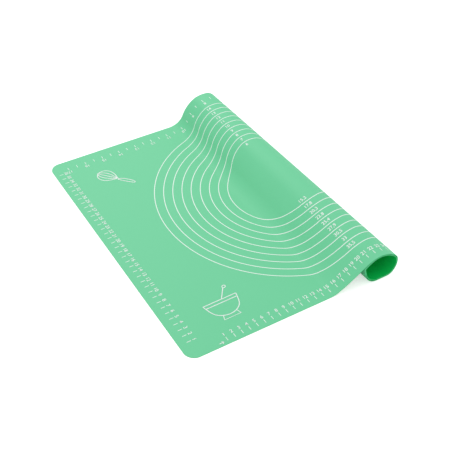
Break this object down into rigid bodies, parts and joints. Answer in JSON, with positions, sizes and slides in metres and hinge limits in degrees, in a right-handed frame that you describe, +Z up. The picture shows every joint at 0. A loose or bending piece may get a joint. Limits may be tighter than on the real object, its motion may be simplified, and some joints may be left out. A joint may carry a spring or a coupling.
{
  "type": "silicone baking mat",
  "caption": "Thin silicone baking mat with printed rulers and pastry circles, flat at one end and loosely rolled up at the other.",
  "frame": {"origin": "middle of the underside of the flat stretch, on the table", "axes": "+Z up out of the table, +Y across the mat from the near to the far edge, +X along the mat from the flat end to the roll"},
  "size_m": [0.2806, 0.4042, 0.0394],
  "materials": {
    "silicone": "matt silicone, mint green",
    "ink": "pale printed ink"
  },
  "bodies": {
    "flat": {"flat_panel": "silicone", "bowl_picture_flat": "ink", "circle_1_flat": "ink", "circle_2_flat": "ink", "circle_3_flat": "ink", "circle_4_flat": "ink", "circle_5_flat": "ink", "circle_6_flat": "ink", "circle_7_flat": "ink", "circle_8_flat": "ink", "circle_9_flat": "ink", "far_ruler_numerals_flat": "ink", "far_ruler_ticks_flat": "ink", "left_ruler_numerals_flat": "ink", "left_ruler_ticks_flat": "ink", "near_ruler_numerals_flat": "ink", "near_ruler_ticks_flat": "ink", "start_arrow_flat": "ink", "whisk_picture_flat": "ink"},
    "ramp": {"ramp": "silicone", "circle_1_ramp": "ink", "circle_2_ramp": "ink", "circle_3_ramp": "ink", "circle_4_ramp": "ink", "circle_5_ramp": "ink", "circle_6_ramp": "ink", "circle_7_ramp": "ink", "circle_8_ramp": "ink", "circle_9_ramp": "ink", "far_ruler_numerals_ramp": "ink", "far_ruler_ticks_ramp": "ink", "imperial_circle_sizes_ramp": "ink", "metric_circle_sizes_ramp": "ink", "near_ruler_numerals_ramp": "ink", "near_ruler_ticks_ramp": "ink"},
    "roll": {"roll": "silicone", "circle_1_roll": "ink", "circle_2_roll": "ink", "circle_3_roll": "ink", "circle_4_roll": "ink", "circle_5_roll": "ink", "circle_6_roll": "ink", "circle_7_roll": "ink", "circle_8_roll": "ink", "circle_9_roll": "ink", "far_ruler_numerals_roll": "ink", "far_ruler_ticks_roll": "ink", "near_ruler_numerals_roll": "ink", "near_ruler_ticks_roll": "ink"}
  },
  "joints": [
    {"name": "ramp_lift", "type": "hinge", "parent": "flat", "child": "ramp", "pos_m": [0.093, 0, 0.0008], "axis": [0, -1, 0], "range_deg": [0, 90]},
    {"name": "roll_swing", "type": "hinge", "parent": "ramp", "child": "roll", "pos_m": [0.15871, 0, 0.03629], "axis": [0.0195, -0.9997, -0.0146], "range_deg": [0, 90]}
  ]
}
